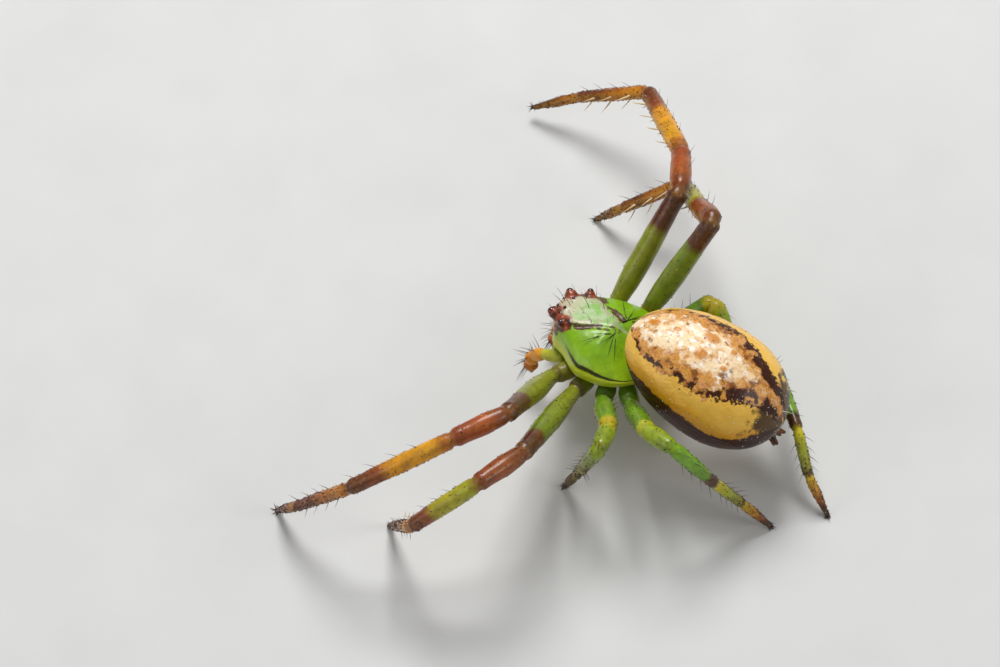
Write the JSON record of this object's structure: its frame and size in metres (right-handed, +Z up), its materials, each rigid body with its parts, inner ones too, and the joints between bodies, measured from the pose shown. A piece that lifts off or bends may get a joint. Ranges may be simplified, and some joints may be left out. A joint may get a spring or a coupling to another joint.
{
  "type": "crab spider",
  "caption": "Life-size crab spider that stands with its long front legs spread wide, its egg-shaped abdomen raised behind a round carapace.",
  "frame": {"origin": "middle of the spider's box, at the floor it stands on", "axes": "+X the way the spider heads, +Y to its left, +Z up"},
  "size_m": [0.0136, 0.0154, 0.0051],
  "materials": {
    "carapace_green": "satin",
    "abdomen_cream": "matte",
    "leg_olive": "satin",
    "leg_amber": "satin",
    "leg_brown": "satin",
    "mouth_yellow": "satin",
    "eye_red": "gloss"
  },
  "bodies": {
    "root": {"carapace": "carapace_green", "sternum": "mouth_yellow", "abdomen": "abdomen_cream", "spinnerets": "leg_brown", "eye_left_front": "eye_red", "eye_left_rear": "eye_red", "chelicera_left": "mouth_yellow", "palp_left": "leg_amber", "eye_right_front": "eye_red", "eye_right_rear": "eye_red", "chelicera_right": "mouth_yellow", "palp_right": "leg_amber", "leg_left_1_coxa": "leg_olive", "leg_left_1_femur": "leg_olive", "leg_left_1_patella": "leg_brown", "leg_left_1_tibia": "leg_amber", "leg_left_1_metatarsus": "leg_amber", "leg_left_1_tarsus": "leg_olive", "leg_left_2_coxa": "leg_olive", "leg_left_2_femur": "leg_olive", "leg_left_2_patella": "leg_brown", "leg_left_2_tibia": "leg_amber", "leg_left_2_metatarsus": "leg_amber", "leg_left_2_tarsus": "leg_olive", "leg_left_3_coxa": "leg_olive", "leg_left_3_femur": "leg_olive", "leg_left_3_patella": "leg_brown", "leg_left_3_tibia": "leg_amber", "leg_left_3_metatarsus": "leg_amber", "leg_left_3_tarsus": "leg_olive", "leg_left_4_coxa": "leg_olive", "leg_left_4_femur": "leg_olive", "leg_left_4_patella": "leg_brown", "leg_left_4_tibia": "leg_amber", "leg_left_4_metatarsus": "leg_amber", "leg_left_4_tarsus": "leg_olive", "leg_right_1_coxa": "leg_olive", "leg_right_1_femur": "leg_olive", "leg_right_1_patella": "leg_brown", "leg_right_1_tibia": "leg_amber", "leg_right_1_metatarsus": "leg_amber", "leg_right_1_tarsus": "leg_olive", "leg_right_2_coxa": "leg_olive", "leg_right_2_femur": "leg_olive", "leg_right_2_patella": "leg_brown", "leg_right_2_tibia": "leg_amber", "leg_right_2_metatarsus": "leg_amber", "leg_right_2_tarsus": "leg_olive", "leg_right_3_coxa": "leg_olive", "leg_right_3_femur": "leg_olive", "leg_right_3_patella": "leg_brown", "leg_right_3_tibia": "leg_amber", "leg_right_3_metatarsus": "leg_amber", "leg_right_3_tarsus": "leg_olive", "leg_right_4_coxa": "leg_olive", "leg_right_4_femur": "leg_olive", "leg_right_4_patella": "leg_brown", "leg_right_4_tibia": "leg_amber", "leg_right_4_metatarsus": "leg_amber", "leg_right_4_tarsus": "leg_olive"}
  },
  "joints": []
}
